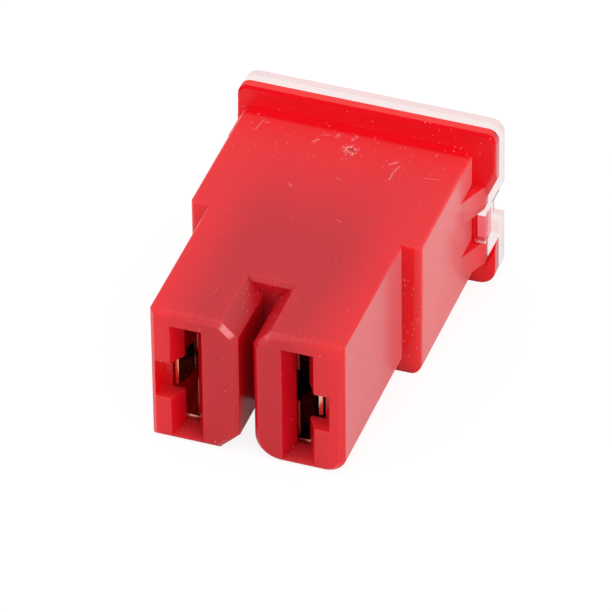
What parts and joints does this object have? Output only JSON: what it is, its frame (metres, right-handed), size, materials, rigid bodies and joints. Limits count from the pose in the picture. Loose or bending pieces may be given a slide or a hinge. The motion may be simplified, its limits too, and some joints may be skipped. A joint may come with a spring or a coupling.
{
  "type": "automotive cartridge fuse",
  "caption": "Low-profile cartridge fuse: a moulded housing with female blade terminals in its legs, a keyed flange and a clear latched cover over the link.",
  "frame": {"origin": "middle of the bounding box, on the broad face that the fuse lies on", "axes": "+Y runs along the fuse from the open leg ends to the clear cover, X is its width with the keying notch at +X, and +Z is its thickness, up from the face that it lies on"},
  "size_m": [0.0182, 0.024, 0.0125],
  "materials": {
    "housing_plastic": "moulded, semi-gloss, slightly translucent red",
    "clear_plastic": "clear, polished",
    "copper_alloy": "rolled and stamped",
    "tin": "soft, dull"
  },
  "bodies": {
    "root": {"housing": "housing_plastic", "cover": "clear_plastic", "fuse_element": "copper_alloy", "tin_pellet": "tin"}
  },
  "joints": []
}
